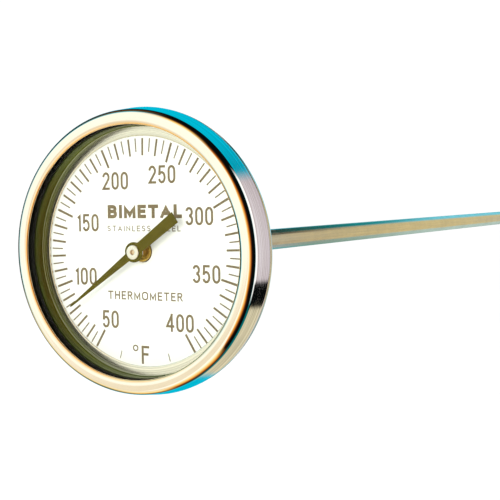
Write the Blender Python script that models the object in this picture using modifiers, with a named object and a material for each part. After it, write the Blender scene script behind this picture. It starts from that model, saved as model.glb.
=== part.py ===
"""Dial thermometer: a round case with a printed dial, carried on a long straight stem.

A bimetal helix in the stem's tip turns a thin spindle, and the spindle turns the pointer.
The stem runs along +Y, the dial faces -Y and its twelve o'clock is +Z.
The origin is on the stem's axis, at the rear face of the hexagon nut behind the case.
Every turned piece is given as (radius, depth) points, where depth is counted from the
dial's printed face, positive towards the stem's tip. Lengths are in metres.
"""
import math

import bmesh
import bpy

MM = 0.001
INCH = 0.0254

# Main dimensions
STEM_LENGTH = 12 * INCH              # from the nut's rear face to the tip
STEM_RADIUS = 0.25 * INCH / 2
STEM_WALL = 0.5 * MM
NUT_ACROSS_FLATS = 9 / 16 * INCH
NUT_REAR = 19.3 * MM                 # depth of the nut's rear face behind the dial's face
TIP = NUT_REAR + STEM_LENGTH         # depth of the stem's tip
CLEARANCE = 0.1 * MM                 # gap left between neighbouring solids

# Bezel: one rolled ring of sheet, lip in front and hem behind
BEZEL_SHEET = 0.5 * MM
BEZEL_HEM_SHEET = 0.6 * MM
BEZEL_CORNER_AXIS = (33.87 * MM, -5.48 * MM)
BEZEL_CORNER_RADIUS = 1.5 * MM
BEZEL_CONE_ANGLE = 88.0              # degrees between the front face's normal and the radius
BEZEL_LIP_RADIUS = 31.75 * MM
BEZEL_HEM_AXIS = (35.58 * MM, 1.0 * MM)
BEZEL_HEM_RADIUS = 0.8 * MM
BEZEL_HEM_INNER = 34.45 * MM

# Case cup: a pressed pan with a flange that the bezel's hem hooks behind
CUP_SHEET = 0.7 * MM
CUP_BACK = 9.0 * MM
CUP_RADIUS = 33.0 * MM
CUP_CORNER = 5.0 * MM
CUP_STEP_RADIUS = 34.2 * MM
CUP_SHOULDER = 0.9 * MM
CUP_FLANGE_RADIUS = 35.2 * MM
CUP_FLANGE_FRONT = 0.4 * MM

# Window, gasket, spacer ring and dial, front to back
WINDOW_RADIUS = 33.6 * MM
WINDOW_FRONT = -6.05 * MM
WINDOW_BACK = -4.95 * MM
GASKET_INNER = 31.75 * MM
GASKET_OUTER = 34.7 * MM
SPACER_BORE = 31.7 * MM
SPACER_WALL = 0.7 * MM
SPACER_NOSE_RADIUS = 29.1 * MM
SPACER_FLANGE = 0.6 * MM
SPACER_SEAT = -3.65 * MM
DIAL_RADIUS = 33.3 * MM
DIAL_SHEET = 0.8 * MM
DIAL_HOLE = 2.75 * MM

# Neck where the stem turns in the case
NECK_RADIUS = 5.5 * MM
NECK_BORE = 5.6 * MM
COLLAR_FLANGE_RADIUS = 8.0 * MM
HUB_RADIUS = 10.0 * MM
HUB_REAR = 12.6 * MM
NUT_FRONT = 13.7 * MM

# Pointer and its spindle
SPINDLE_RADIUS = 0.6 * MM
SPINDLE_BORE = 0.7 * MM
BUSH_RADIUS = STEM_RADIUS - STEM_WALL - CLEARANCE
BLADE_DEPTH = -4.0 * MM
BLADE_SHEET = 0.3 * MM
BLADE_DISC_RADIUS = 2.55 * MM
BLADE_HOLE_RADIUS = 1.25 * MM
NEEDLE_LENGTH = 24.9 * MM
NEEDLE_ROOT_WIDTH = 2.0 * MM
NEEDLE_TIP_WIDTH = 0.35 * MM
TAIL_LENGTH = 15.1 * MM
TAIL_ROOT_WIDTH = 2.5 * MM
TAIL_END_WIDTH = 3.05 * MM

# Scale: the pointer's angle over the dial, in degrees anticlockwise from three o'clock
SCALE_MIDDLE = 225.0                 # degrees Fahrenheit at twelve o'clock
SCALE_HALF_SPAN = 175.0
SCALE_HALF_SWEEP = 149.0
SCALE_BOW = 3.3
SCALE_SKEW = -3.9
ROOM_READING = 80.3                  # degrees Fahrenheit that the pointer rests at

# Bimetal helix and the pieces that hold its two ends
HELIX_FRONT = 264.0 * MM
HELIX_TURNS = 24
HELIX_PITCH = 1.9 * MM
HELIX_STRIP_WIDTH = 1.4 * MM
HELIX_STRIP_SHEET = 0.3 * MM
HELIX_RADIUS = 2.2 * MM
HELIX_STEPS_PER_TURN = 10
FERRULE_RADIUS = 1.75 * MM

FINE_STEPS = 72
PLAIN_STEPS = 32
THIN_STEPS = 16


def clear_scene():
    """Start from an empty scene."""
    for item in list(bpy.data.objects):
        bpy.data.objects.remove(item)


def make_collection(name):
    """Add a collection to the scene."""
    collection = bpy.data.collections.new(name)
    bpy.context.scene.collection.children.link(collection)
    return collection


def make_material(name, colour, roughness, metallic, alpha=1.0):
    """A Principled material with one colour."""
    material = bpy.data.materials.new(name)
    material.use_nodes = True
    shader = material.node_tree.nodes["Principled BSDF"]
    shader.inputs["Base Color"].default_value = (*colour, 1.0)
    shader.inputs["Roughness"].default_value = roughness
    shader.inputs["Metallic"].default_value = metallic
    shader.inputs["Alpha"].default_value = alpha
    return material


def scale_angle(reading):
    """Angle of a reading on the dial, in degrees anticlockwise from three o'clock."""
    u = (reading - SCALE_MIDDLE) / SCALE_HALF_SPAN
    return 90.0 - (SCALE_HALF_SWEEP * u + SCALE_BOW * (u * u - 1) + SCALE_SKEW * (u ** 3 - u))


def arc(centre, radius, start, end, pieces):
    """Points along an arc in the (radius, depth) plane, its angles in degrees."""
    points = []
    for i in range(pieces + 1):
        angle = math.radians(start + (end - start) * i / pieces)
        points.append((centre[0] + radius * math.cos(angle), centre[1] + radius * math.sin(angle)))
    return points


def freeze(part):
    """Apply the part's modifiers, and shade its round faces smooth."""
    bpy.context.view_layer.update()
    graph = bpy.context.evaluated_depsgraph_get()
    mesh = bpy.data.meshes.new_from_object(part.evaluated_get(graph))
    old = part.data
    part.modifiers.clear()
    part.data = mesh
    bpy.data.meshes.remove(old)
    mesh.name = part.name
    mesh.shade_smooth()
    mesh.set_sharp_from_angle(angle=math.radians(28))


def turned(name, profile, material, collection, steps=PLAIN_STEPS, closed=True):
    """Turn (radius, depth) points about the stem's axis; an open profile starts and ends on it."""
    mesh = bpy.data.meshes.new(name)
    edges = [(i, i + 1) for i in range(len(profile) - 1)]
    if closed:
        edges.append((len(profile) - 1, 0))
    mesh.from_pydata([(radius, 0.0, depth) for radius, depth in profile], edges, [])
    part = bpy.data.objects.new(name, mesh)
    collection.objects.link(part)
    part.location = (0.0, -NUT_REAR, 0.0)
    part.rotation_euler = (-math.pi / 2, 0.0, 0.0)
    screw = part.modifiers.new("turn", "SCREW")
    screw.axis = "Z"
    screw.steps = steps
    screw.render_steps = steps
    screw.use_merge_vertices = True
    screw.merge_threshold = 0.000001
    freeze(part)
    if material:
        part.data.materials.append(material)
    return part


def tube(inner, outer, front, rear):
    """Profile of a plain ring or tube between two depths."""
    return [(inner, rear), (outer, rear), (outer, front), (inner, front)]


def bezel_profile():
    """The rolled bezel's section: hem, side, rounded corner, coned front face and lip."""
    corner_r, corner_d = BEZEL_CORNER_AXIS
    nose = BEZEL_SHEET / 2
    cone = math.radians(BEZEL_CONE_ANGLE)
    run = (corner_r + BEZEL_CORNER_RADIUS * math.cos(cone)) - (BEZEL_LIP_RADIUS + nose)
    lip_front = corner_d - BEZEL_CORNER_RADIUS * math.sin(cone) - run / math.tan(cone)
    lip_axis = (BEZEL_LIP_RADIUS + nose, lip_front + nose)
    inner_corner = BEZEL_CORNER_RADIUS - BEZEL_SHEET
    inner_hem = BEZEL_HEM_RADIUS - BEZEL_HEM_SHEET
    hem_rear = BEZEL_HEM_AXIS[1] + BEZEL_HEM_RADIUS
    profile = [(BEZEL_HEM_INNER, hem_rear)]
    profile += arc(BEZEL_HEM_AXIS, BEZEL_HEM_RADIUS, 90, 0, 3)
    profile += arc(BEZEL_CORNER_AXIS, BEZEL_CORNER_RADIUS, 0, -BEZEL_CONE_ANGLE, 4)
    profile += arc(lip_axis, nose, -BEZEL_CONE_ANGLE, -BEZEL_CONE_ANGLE - 180, 3)
    profile += arc(BEZEL_CORNER_AXIS, inner_corner, -BEZEL_CONE_ANGLE, 0, 2)
    profile += arc(BEZEL_HEM_AXIS, inner_hem, 0, 90, 1)
    profile.append((BEZEL_HEM_INNER, hem_rear - BEZEL_HEM_SHEET))
    return profile


def cup_profile():
    """The pressed case: flat back, rounded corner, side, step and flange."""
    flange_rear = CUP_FLANGE_FRONT + CUP_SHEET
    shoulder_rear = CUP_SHOULDER + CUP_SHEET
    corner = (CUP_RADIUS - CUP_CORNER, CUP_BACK - CUP_CORNER)
    profile = [(NECK_BORE, CUP_BACK)]
    profile += arc(corner, CUP_CORNER, 90, 0, 4)
    profile += [
        (CUP_RADIUS, shoulder_rear),
        (CUP_STEP_RADIUS, shoulder_rear),
        (CUP_STEP_RADIUS, flange_rear),
        (CUP_FLANGE_RADIUS, flange_rear),
        (CUP_FLANGE_RADIUS, CUP_FLANGE_FRONT),
        (CUP_STEP_RADIUS - CUP_SHEET, CUP_FLANGE_FRONT),
        (CUP_STEP_RADIUS - CUP_SHEET, CUP_SHOULDER),
        (CUP_RADIUS - CUP_SHEET, CUP_SHOULDER),
    ]
    profile += arc(corner, CUP_CORNER - CUP_SHEET, 0, 90, 4)
    profile.append((NECK_BORE, CUP_BACK - CUP_SHEET))
    return profile


def spacer_profile():
    """The polished spacer: a foot on the dial's margin, a wall, and a seat for the gasket."""
    dial_side = -CLEARANCE
    seat = SPACER_SEAT
    edge = 0.25 * MM
    wall_outer = SPACER_BORE + SPACER_WALL
    foot_top = dial_side - SPACER_FLANGE
    return [
        (SPACER_NOSE_RADIUS + edge, dial_side),
        (wall_outer, dial_side),
        (wall_outer, seat + SPACER_WALL),
        (GASKET_OUTER, seat + SPACER_WALL),
        (GASKET_OUTER, seat),
        (SPACER_BORE + edge, seat),
        (SPACER_BORE, seat + edge),
        (SPACER_BORE, foot_top - edge),
        (SPACER_BORE - edge, foot_top),
        (SPACER_NOSE_RADIUS + edge, foot_top),
        (SPACER_NOSE_RADIUS, (foot_top + dial_side) / 2),
    ]


def hub_profile():
    """The boss on the case's back, hollowed in front for the O-ring."""
    front = CUP_BACK + CLEARANCE
    groove_radius = 7.1 * MM
    groove_rear = 10.3 * MM
    nose_radius = 8.6 * MM
    chamfer = 1.4 * MM
    return [
        (NECK_BORE, HUB_REAR),
        (nose_radius, HUB_REAR),
        (HUB_RADIUS, HUB_REAR - chamfer),
        (HUB_RADIUS, front),
        (groove_radius, front),
        (groove_radius, groove_rear),
        (NECK_BORE, groove_rear),
    ]


def make_head(collection, materials):
    """The case and what it holds: it turns on the stem's neck when the dial is set."""
    turned("bezel_ring", bezel_profile(), materials["polished_steel"], collection, FINE_STEPS)
    turned("case_cup", cup_profile(), materials["case_steel"], collection, FINE_STEPS)
    turned("case_hub", hub_profile(), materials["turned_steel"], collection)
    edge = 0.2 * MM
    window = [
        (0.0, WINDOW_BACK),
        (WINDOW_RADIUS - edge, WINDOW_BACK),
        (WINDOW_RADIUS, WINDOW_BACK - edge),
        (WINDOW_RADIUS, WINDOW_FRONT + edge),
        (WINDOW_RADIUS - edge, WINDOW_FRONT),
        (0.0, WINDOW_FRONT),
    ]
    turned("window_glass", window, materials["glass"], collection, FINE_STEPS, closed=False)
    gasket = tube(GASKET_INNER, GASKET_OUTER, WINDOW_BACK + CLEARANCE, SPACER_SEAT - CLEARANCE)
    turned("window_gasket", gasket, materials["rubber"], collection, FINE_STEPS)
    turned("spacer_ring", spacer_profile(), materials["spacer_steel"], collection, FINE_STEPS)
    dial = tube(DIAL_HOLE, DIAL_RADIUS, 0.0, DIAL_SHEET)
    turned("dial_plate", dial, materials["dial_enamel"], collection, FINE_STEPS)
    make_oring(collection, materials)


def make_oring(collection, materials):
    """The O-ring that seals the stem's neck in the case's boss."""
    bpy.ops.mesh.primitive_torus_add(
        major_segments=24,
        minor_segments=8,
        major_radius=6.25 * MM,
        minor_radius=0.5 * MM,
        location=(0.0, 9.7 * MM - NUT_REAR, 0.0),
        rotation=(math.pi / 2, 0.0, 0.0),
    )
    ring = bpy.context.active_object
    ring.name = "hub_oring"
    ring.data.name = "hub_oring"
    ring.data.shade_smooth()
    ring.data.materials.append(materials["rubber"])
    for owner in list(ring.users_collection):
        owner.objects.unlink(ring)
    collection.objects.link(ring)


def make_nut(collection, cutters, materials):
    """The hexagon nut, its corners chamfered at both ends, bored to pass the stem's neck."""
    length = NUT_REAR - NUT_FRONT
    mesh = bpy.data.meshes.new("recalibration_nut")
    shape = bmesh.new()
    across_corners = NUT_ACROSS_FLATS / math.cos(math.pi / 6)
    bmesh.ops.create_cone(
        shape,
        cap_ends=True,
        segments=6,
        radius1=across_corners / 2,
        radius2=across_corners / 2,
        depth=length,
    )
    shape.to_mesh(mesh)
    shape.free()
    nut = bpy.data.objects.new("recalibration_nut", mesh)
    collection.objects.link(nut)
    nut.location = (0.0, -length / 2, 0.0)
    nut.rotation_euler = (math.pi / 2, 0.0, 0.0)

    over = 1.0 * MM
    face_radius = NUT_ACROSS_FLATS / 2 - 0.1 * MM
    slope = 1 / math.tan(math.radians(30))
    cone_radius = face_radius + length / 2 * slope
    chamfer = [
        (0.0, NUT_REAR),
        (face_radius, NUT_REAR),
        (cone_radius, (NUT_REAR + NUT_FRONT) / 2),
        (face_radius, NUT_FRONT),
        (0.0, NUT_FRONT),
    ]
    guide = turned("nut_chamfer_guide", chamfer, None, cutters, 48, closed=False)
    bore = [(0.0, NUT_REAR + over), (NECK_BORE, NUT_REAR + over), (NECK_BORE, NUT_FRONT - over)]
    bore.append((0.0, NUT_FRONT - over))
    cutter = turned("nut_bore_cutter", bore, None, cutters, PLAIN_STEPS, closed=False)
    for tool, operation in ((guide, "INTERSECT"), (cutter, "DIFFERENCE")):
        tool.hide_render = True
        tool.display_type = "WIRE"
        cut = nut.modifiers.new(tool.name, "BOOLEAN")
        cut.operation = operation
        cut.object = tool
        cut.solver = "EXACT"
    nut.data.materials.append(materials["turned_steel"])


def make_wave_washer(collection, materials):
    """The spring washer that presses the case's boss and the nut apart."""
    sheet = 0.4 * MM
    inner = NECK_BORE + CLEARANCE
    outer = 8.2 * MM
    wave = 0.12 * MM
    waves = 3
    shape = bmesh.new()
    rim = bmesh.ops.create_circle(shape, cap_ends=False, segments=36, radius=outer)["verts"]
    rim_edges = list(shape.edges)
    grown = bmesh.ops.extrude_edge_only(shape, edges=rim_edges)["geom"]
    bore = [item for item in grown if isinstance(item, bmesh.types.BMVert)]
    bmesh.ops.scale(shape, vec=(inner / outer, inner / outer, 1.0), verts=bore)
    for vertex in rim + bore:
        vertex.co.z = wave * math.cos(waves * math.atan2(vertex.co.y, vertex.co.x))
    mesh = bpy.data.meshes.new("wave_washer")
    shape.to_mesh(mesh)
    shape.free()
    washer = bpy.data.objects.new("wave_washer", mesh)
    collection.objects.link(washer)
    washer.location = (0.0, (HUB_REAR + NUT_FRONT) / 2 - NUT_REAR, 0.0)
    washer.rotation_euler = (math.pi / 2, 0.0, 0.0)
    thicken = washer.modifiers.new("thicken", "SOLIDIFY")
    thicken.thickness = sheet
    thicken.offset = 0.0
    washer.data.materials.append(materials["spring_steel"])


def make_stem(collection, cutters, materials):
    """The stem, its neck, and the pieces fixed in it: the body that everything turns on."""
    tube_front = 1.6 * MM
    head_length = 2.1 * MM
    stem_bore = STEM_RADIUS - STEM_WALL
    stem = tube(stem_bore, STEM_RADIUS, tube_front, TIP - head_length - CLEARANCE)
    turned("stem_tube", stem, materials["stem_steel"], collection)
    edge = 0.6 * MM
    spigot = 4.0 * MM
    plug = [
        (0.0, TIP),
        (STEM_RADIUS - edge, TIP),
        (STEM_RADIUS, TIP - edge),
        (STEM_RADIUS, TIP - head_length),
        (BUSH_RADIUS, TIP - head_length),
        (BUSH_RADIUS, TIP - head_length - spigot),
        (0.0, TIP - head_length - spigot),
    ]
    turned("stem_tip_plug", plug, materials["stem_steel"], collection, closed=False)

    collar_bore = STEM_RADIUS + CLEARANCE
    flange_rear = CUP_BACK - CUP_SHEET - 2 * CLEARANCE
    flange_front = flange_rear - 1.2 * MM
    neck_rear = NUT_REAR - 0.3 * MM
    collar = [
        (collar_bore, neck_rear),
        (NECK_RADIUS, neck_rear),
        (NECK_RADIUS, flange_rear),
        (COLLAR_FLANGE_RADIUS, flange_rear),
        (COLLAR_FLANGE_RADIUS, flange_front),
        (collar_bore, flange_front),
    ]
    turned("stem_collar", collar, materials["turned_steel"], collection)
    make_nut(collection, cutters, materials)
    make_wave_washer(collection, materials)

    bush_rear = 10.0 * MM
    bush_front = -0.9 * MM
    bush = [
        (SPINDLE_BORE, bush_rear),
        (BUSH_RADIUS, bush_rear),
        (BUSH_RADIUS, bush_front + 0.3 * MM),
        (BUSH_RADIUS - 0.3 * MM, bush_front),
        (SPINDLE_BORE, bush_front),
    ]
    turned("bearing_bush", bush, materials["brass"], collection)
    guide_length = 3.0 * MM
    for name, depth in (("spindle_guide_front", 120 * MM), ("spindle_guide_rear", 220 * MM)):
        guide = tube(SPINDLE_BORE, BUSH_RADIUS, depth, depth + guide_length)
        turned(name, guide, materials["brass"], collection, THIN_STEPS)


def make_helix(collection, materials):
    """The bimetal strip, wound into a helix, and the anchor that holds its rear end."""
    mesh = bpy.data.meshes.new("bimetal_helix")
    mesh.from_pydata([(HELIX_RADIUS, 0.0, HELIX_STRIP_WIDTH), (HELIX_RADIUS, 0.0, 0.0)], [(0, 1)], [])
    helix = bpy.data.objects.new("bimetal_helix", mesh)
    collection.objects.link(helix)
    helix.location = (0.0, HELIX_FRONT - NUT_REAR, 0.0)
    helix.rotation_euler = (-math.pi / 2, 0.0, 0.0)
    wind = helix.modifiers.new("wind", "SCREW")
    wind.axis = "Z"
    wind.screw_offset = HELIX_PITCH
    wind.iterations = HELIX_TURNS
    wind.steps = HELIX_STEPS_PER_TURN
    wind.render_steps = HELIX_STEPS_PER_TURN
    thicken = helix.modifiers.new("thicken", "SOLIDIFY")
    thicken.thickness = HELIX_STRIP_SHEET
    thicken.offset = 0.0
    helix.data.materials.append(materials["bimetal"])

    helix_rear = HELIX_FRONT + HELIX_TURNS * HELIX_PITCH + HELIX_STRIP_WIDTH
    nose_front = helix_rear - 3.0 * MM
    body_front = helix_rear + 1.0 * MM
    body_rear = body_front + 4.0 * MM
    anchor = [
        (0.0, body_rear),
        (BUSH_RADIUS, body_rear),
        (BUSH_RADIUS, body_front),
        (FERRULE_RADIUS, body_front),
        (FERRULE_RADIUS, nose_front),
        (0.0, nose_front),
    ]
    turned("helix_anchor", anchor, materials["brass"], collection, THIN_STEPS, closed=False)


def make_pointer(collection, materials):
    """The pointer, its hub, and the spindle that the helix turns."""
    spindle_rear = HELIX_FRONT - 1.0 * MM
    spindle_front = -4.45 * MM
    spindle = [
        (0.0, spindle_rear),
        (SPINDLE_RADIUS, spindle_rear),
        (SPINDLE_RADIUS, spindle_front),
        (0.0, spindle_front),
    ]
    turned("spindle", spindle, materials["spindle_steel"], collection, THIN_STEPS, closed=False)
    ferrule = tube(SPINDLE_BORE, FERRULE_RADIUS, HELIX_FRONT - 5 * MM, HELIX_FRONT + 2.5 * MM)
    turned("helix_ferrule", ferrule, materials["brass"], collection, THIN_STEPS)
    collar = tube(SPINDLE_BORE, 1.8 * MM, 10.3 * MM, 12.3 * MM)
    turned("spindle_collar", collar, materials["brass"], collection, THIN_STEPS)

    blade_front = BLADE_DEPTH - BLADE_SHEET / 2
    blade_rear = BLADE_DEPTH + BLADE_SHEET / 2
    seat = 1.5 * CLEARANCE
    sleeve = BLADE_HOLE_RADIUS - seat
    head_radius = 1.8 * MM
    head_front = -4.7 * MM
    hub = [
        (SPINDLE_BORE, -2.4 * MM),
        (head_radius, -2.4 * MM),
        (head_radius, blade_rear + seat),
        (sleeve, blade_rear + seat),
        (sleeve, blade_front - seat),
        (head_radius, blade_front - seat),
        (head_radius, head_front + 0.2 * MM),
        (head_radius - 0.2 * MM, head_front),
        (SPINDLE_BORE, head_front),
    ]
    turned("pointer_hub", hub, materials["nickel"], collection, 24)
    make_blade(collection, materials)


def blade_outline():
    """Half of the pointer's outline, needle along +X and tail along -X, from tip to tail."""
    root = math.asin(NEEDLE_ROOT_WIDTH / 2 / BLADE_DISC_RADIUS)
    tail_root = math.pi - math.asin(TAIL_ROOT_WIDTH / 2 / BLADE_DISC_RADIUS)
    points = [(NEEDLE_LENGTH, 0.0), (NEEDLE_LENGTH - NEEDLE_TIP_WIDTH, NEEDLE_TIP_WIDTH / 2)]
    pieces = 8
    for i in range(pieces + 1):
        angle = root + (tail_root - root) * i / pieces
        points.append((BLADE_DISC_RADIUS * math.cos(angle), BLADE_DISC_RADIUS * math.sin(angle)))
    points.append((-TAIL_LENGTH, TAIL_END_WIDTH / 2))
    return points


def make_blade(collection, materials):
    """The flat pointer: a tapered needle, a disc at the hub and a broad square tail."""
    curve = bpy.data.curves.new("pointer_blade", "CURVE")
    curve.dimensions = "2D"
    curve.fill_mode = "BOTH"
    curve.extrude = BLADE_SHEET / 2
    half = blade_outline()
    outline = half + [(x, -y) for x, y in reversed(half[1:])]
    hole_pieces = 16
    hole = []
    for i in range(hole_pieces):
        angle = 2 * math.pi * i / hole_pieces
        hole.append((BLADE_HOLE_RADIUS * math.cos(angle), BLADE_HOLE_RADIUS * math.sin(angle)))
    for points in (outline, hole):
        spline = curve.splines.new("POLY")
        spline.points.add(len(points) - 1)
        for point, (x, y) in zip(spline.points, points):
            point.co = (x, y, 0.0, 1.0)
        spline.use_cyclic_u = True
    blade = bpy.data.objects.new("pointer_blade", curve)
    collection.objects.link(blade)
    blade.location = (0.0, BLADE_DEPTH - NUT_REAR, 0.0)
    rest_angle = math.radians(scale_angle(ROOM_READING))
    blade.rotation_euler = (math.pi / 2, -rest_angle, 0.0)
    blade.data.materials.append(materials["pointer_paint"])


def main():
    """Build the whole thermometer."""
    clear_scene()
    collection = make_collection("dial_thermometer")
    cutters = make_collection("cutters")
    materials = {
        "polished_steel": make_material("polished_steel", (0.78, 0.77, 0.74), 0.15, 1.0),
        "case_steel": make_material("case_steel", (0.66, 0.65, 0.63), 0.3, 1.0),
        "turned_steel": make_material("turned_steel", (0.6, 0.6, 0.59), 0.32, 1.0),
        "stem_steel": make_material("stem_steel", (0.62, 0.6, 0.55), 0.3, 1.0),
        "spring_steel": make_material("spring_steel", (0.45, 0.45, 0.46), 0.35, 1.0),
        "spindle_steel": make_material("spindle_steel", (0.4, 0.38, 0.34), 0.35, 1.0),
        "spacer_steel": make_material("spacer_steel", (0.7, 0.69, 0.64), 0.2, 1.0),
        "glass": make_material("glass", (0.95, 0.97, 0.96), 0.03, 0.0, 0.25),
        "rubber": make_material("rubber", (0.02, 0.02, 0.02), 0.7, 0.0),
        "dial_enamel": make_material("dial_enamel", (0.93, 0.93, 0.88), 0.5, 0.0),
        "pointer_paint": make_material("pointer_paint", (0.09, 0.075, 0.025), 0.45, 0.0),
        "nickel": make_material("nickel", (0.8, 0.79, 0.76), 0.2, 1.0),
        "brass": make_material("brass", (0.75, 0.52, 0.16), 0.3, 1.0),
        "bimetal": make_material("bimetal", (0.5, 0.42, 0.32), 0.4, 1.0),
    }
    make_head(collection, materials)
    make_stem(collection, cutters, materials)
    make_helix(collection, materials)
    make_pointer(collection, materials)


main()
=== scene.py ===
"""Dial thermometer: the visible pieces and their materials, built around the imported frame.

Turned pieces are (radius, depth) profiles about the stem's axis, with depth counted from the
dial's printed face, positive towards the stem's tip. Printing is laid out in dial units:
one unit is the radius of the tick ring's outer end. Lengths are in metres.
"""
import math
from functools import partial

import bmesh
import bpy
from mathutils import Matrix, Vector


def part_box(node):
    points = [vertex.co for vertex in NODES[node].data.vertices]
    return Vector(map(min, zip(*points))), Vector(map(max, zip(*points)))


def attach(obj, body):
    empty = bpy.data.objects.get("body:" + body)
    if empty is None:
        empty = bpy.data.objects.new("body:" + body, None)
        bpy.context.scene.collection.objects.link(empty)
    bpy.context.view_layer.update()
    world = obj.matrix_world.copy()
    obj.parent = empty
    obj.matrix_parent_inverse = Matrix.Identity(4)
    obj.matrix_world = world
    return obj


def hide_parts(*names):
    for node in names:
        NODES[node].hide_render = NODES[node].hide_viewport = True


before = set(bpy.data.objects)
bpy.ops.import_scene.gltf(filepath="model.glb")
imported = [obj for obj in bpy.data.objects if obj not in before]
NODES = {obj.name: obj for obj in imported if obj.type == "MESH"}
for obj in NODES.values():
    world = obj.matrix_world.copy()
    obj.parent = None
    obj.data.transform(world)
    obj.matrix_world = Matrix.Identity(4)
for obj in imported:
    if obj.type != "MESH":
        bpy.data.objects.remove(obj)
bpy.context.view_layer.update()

MM = 0.001
DIAL_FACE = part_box("dial_plate")[0].y


def front(node):
    """Depth of a node's front end."""
    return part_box(node)[0].y - DIAL_FACE


def rear(node):
    """Depth of a node's rear end."""
    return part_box(node)[1].y - DIAL_FACE


def radius(node):
    """Outer radius of a turned node."""
    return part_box(node)[1].x


# Steps around the stem's axis, for wide pieces, for narrow ones and for the spindle
WIDE_STEPS = 288
NARROW_STEPS = 96
PIN_STEPS = 48

# Radii over which a material changes, from one look to the other
BEZEL_SIDE = (35.6 * MM, 35.8 * MM)
# Towards the lip the bezel's face turns orange over these radii: a painted reflection
BEZEL_LIP_PAINTED_REFLECTION = (32.5 * MM, 32.0 * MM)
# The spacer's wall, whose dark olive is painted shade, begins over these radii
SPACER_WALL = (31.35 * MM, 31.6 * MM)
# Places along the stem's axis between which painted shade darkens the spacer's wall towards the
# gasket, under the bezel's lip
SPACER_PAINTED_SHADE = (DIAL_FACE - 1.6 * MM, DIAL_FACE - 4.4 * MM)

# The scale's angles: a reading's share of the half span on either side of the middle reading
# turns it by the half sweep, and the bow and the skew space the marks unevenly, in degrees
SCALE_MIDDLE = 225.0
SCALE_HALF_SPAN = 175.0
SCALE_HALF_SWEEP = 148.7
SCALE_BOW = 3.3
SCALE_SKEW = -3.1
SCALE_CENTRE = (0.0005, -0.008)      # the marks sit a little low on the plate
FIRST_MARK = 50
LAST_MARK = 400
# At rest the needle points this many degrees anticlockwise from three o'clock
POINTER_ANGLE = 215.27

# Printing, in dial units; a stroke's weight is its share of the letters' height
UNIT = 28.8 * MM
INK_FILM = 0.03 * MM
# Marks, the later ones in place of the earlier: step in degrees, inner end, width
MARKS = ((5, 0.8815, 0.011), (10, 0.8493, 0.0185), (50, 0.8232, 0.0205))
# Two faint marks beside the bottom: degrees from it, inner end, outer end, width
LOW_MARKS = (15.6, 0.915, 0.985, 0.008)
DIGIT_CAP = 0.158
DIGIT_WEIGHT = 0.135
DIGIT_GAP = 0.127
SPACE_WIDTH = 0.35
NUMBERS = {
    "50": (-0.362, -0.611), "100": (-0.626, -0.231), "150": (-0.591, 0.253),
    "200": (-0.28, 0.624), "250": (0.215, 0.671), "300": (0.585, 0.308),
    "350": (0.646, -0.187), "400": (0.37, -0.617),
}
# Lines of words: text, centre, height, weight, width, and how wide their letters are
WORDS = (
    ("THERMOMETER", (0.011, -0.392), 0.075, 0.165, 0.785, 1.0),
    ("BIMETAL", (0.022, 0.351), 0.12, 0.27, 0.78, 1.2),
    ("STAINLESS STEEL", (0.011, 0.202), 0.05, 0.15, 0.77, 1.08),
)
# The unit's letter, with a space after it that sets its place, and the degree ring before it
UNIT_LETTER = ("F ", (0.0575, -0.914), 0.162, 0.135, 0.183)
DEGREE_CENTRE = (-0.097, -0.857)
DEGREE_RADIUS = 0.0235
DEGREE_WEIGHT = 0.012


# ---------------------------------------------------------------- shapes

def scale_angle(reading):
    """Angle of a reading on the dial, in degrees anticlockwise from three o'clock."""
    u = (reading - SCALE_MIDDLE) / SCALE_HALF_SPAN
    return 90.0 - (SCALE_HALF_SWEEP * u + SCALE_BOW * (u * u - 1) + SCALE_SKEW * (u ** 3 - u))


def arc(centre, size, start, end, pieces):
    """Points along an arc in the (radius, depth) plane, its angles in degrees."""
    points = []
    for i in range(pieces + 1):
        angle = math.radians(start + (end - start) * i / pieces)
        points.append((centre[0] + size * math.cos(angle), centre[1] + size * math.sin(angle)))
    return points


def rounded(points, sizes, pieces=6):
    """A closed outline with its corners rounded; sizes gives each corner's radius."""
    result = []
    count = len(points)
    for i, size in enumerate(sizes):
        corner = Vector(points[i])
        if not size:
            result.append(tuple(corner))
            continue
        before = (Vector(points[i - 1]) - corner).normalized()
        after = (Vector(points[(i + 1) % count]) - corner).normalized()
        half = before.angle(after) / 2
        reach = size / math.tan(half)
        middle = corner + (before + after).normalized() * (size / math.sin(half))
        first = corner + before * reach - middle
        last = corner + after * reach - middle
        for k in range(pieces + 1):
            turn = first.lerp(last, k / pieces).normalized() * size
            result.append(tuple(middle + turn))
    return result


def finish_mesh(name, shape, sharp=30.0):
    """Make an object of a bmesh, its faces turned outward and its round faces shaded smooth."""
    bmesh.ops.recalc_face_normals(shape, faces=shape.faces)
    mesh = bpy.data.meshes.new(name)
    shape.to_mesh(mesh)
    shape.free()
    mesh.shade_smooth()
    mesh.set_sharp_from_angle(angle=math.radians(sharp))
    piece = bpy.data.objects.new(name, mesh)
    bpy.context.scene.collection.objects.link(piece)
    return piece


def turned(name, profile, steps, closed=True, sharp=30.0):
    """Turn (radius, depth) points about the stem's axis. An open profile starts and ends on it."""
    shape = bmesh.new()
    rings = []
    for distance, depth in profile:
        y = DIAL_FACE + depth
        if distance < 1e-7:
            rings.append([shape.verts.new((0.0, y, 0.0))])
            continue
        ring = []
        for i in range(steps):
            angle = 2 * math.pi * i / steps
            x, z = distance * math.cos(angle), distance * math.sin(angle)
            ring.append(shape.verts.new((x, y, z)))
        rings.append(ring)
    pairs = list(zip(rings, rings[1:]))
    if closed:
        pairs.append((rings[-1], rings[0]))
    for here, there in pairs:
        for i in range(steps):
            j = (i + 1) % steps
            corners = []
            for vertex in (here[i % len(here)], here[j % len(here)], there[j % len(there)],
                           there[i % len(there)]):
                if vertex not in corners:
                    corners.append(vertex)
            if len(corners) > 2:
                shape.faces.new(corners)
    return finish_mesh(name, shape, sharp)


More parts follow.
